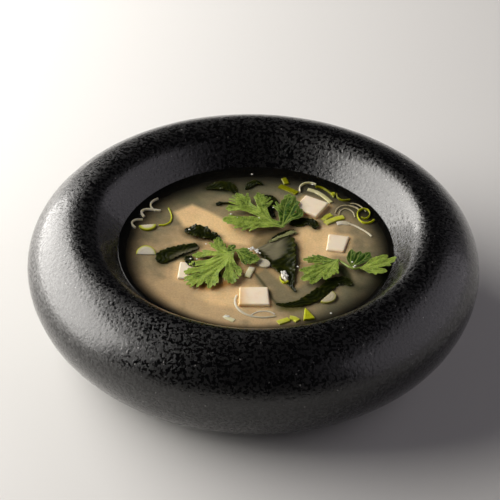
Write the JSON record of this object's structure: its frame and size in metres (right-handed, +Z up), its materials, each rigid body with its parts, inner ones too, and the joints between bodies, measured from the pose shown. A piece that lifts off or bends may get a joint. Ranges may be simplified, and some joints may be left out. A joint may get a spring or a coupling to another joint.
{
  "type": "bowl of miso soup",
  "caption": "Thick-rimmed dark stoneware bowl of miso soup, with tofu cubes, wakame, coriander leaves and spring onion on the surface.",
  "frame": {"origin": "centre of the bowl's base, on the surface that it stands on", "axes": "+Z up; +X to the right and +Y to the back of the bowl as it is served, the coriander sprig that reaches over the wall being on the right"},
  "size_m": [0.22, 0.22, 0.0597],
  "materials": {
    "stoneware": "dark charcoal semi-gloss glaze with fine black and grey speckle and a pitted texture",
    "soup": "cloudy beige broth with a wet surface",
    "tofu": "wet cream-white bean curd",
    "wakame": "wet dark green seaweed",
    "coriander": "fresh green leaf with paler veins",
    "spring_onion": "wet white to yellow-green"
  },
  "bodies": {
    "root": {"bowl": "stoneware", "soup": "soup", "tofu_back": "tofu", "tofu_right": "tofu", "tofu_front": "tofu", "tofu_left": "tofu", "wakame_back_left": "wakame", "wakame_back": "wakame", "wakame_folded": "wakame", "wakame_left": "wakame", "wakame_behind_leaf": "wakame", "wakame_centre": "wakame", "wakame_between_leaves": "wakame", "wakame_right": "wakame", "coriander_back": "coriander", "coriander_left": "coriander", "coriander_right": "coriander", "onion_curl_left_front": "spring_onion", "onion_curl_left_middle": "spring_onion", "onion_curl_left_back": "spring_onion", "onion_arc_left": "spring_onion", "onion_loop_back": "spring_onion", "onion_shred_back_outer": "spring_onion", "onion_shred_back_inner": "spring_onion", "onion_shred_right_back": "spring_onion", "onion_shred_right_middle": "spring_onion", "onion_spiral_right": "spring_onion", "onion_strand_right": "spring_onion", "onion_leaf_right_front": "spring_onion", "onion_leaf_right_back": "spring_onion", "onion_leaf_back": "spring_onion", "onion_leaf_back_tip": "spring_onion", "onion_shred_centre": "spring_onion", "onion_leaf_front_left": "spring_onion", "onion_leaf_front_middle": "spring_onion", "onion_film_front": "spring_onion", "onion_slice_left": "spring_onion", "onion_slice_left_back": "spring_onion", "onion_slice_centre": "spring_onion", "onion_slice_right": "spring_onion", "onion_leaf_front_right": "spring_onion"}
  },
  "joints": []
}
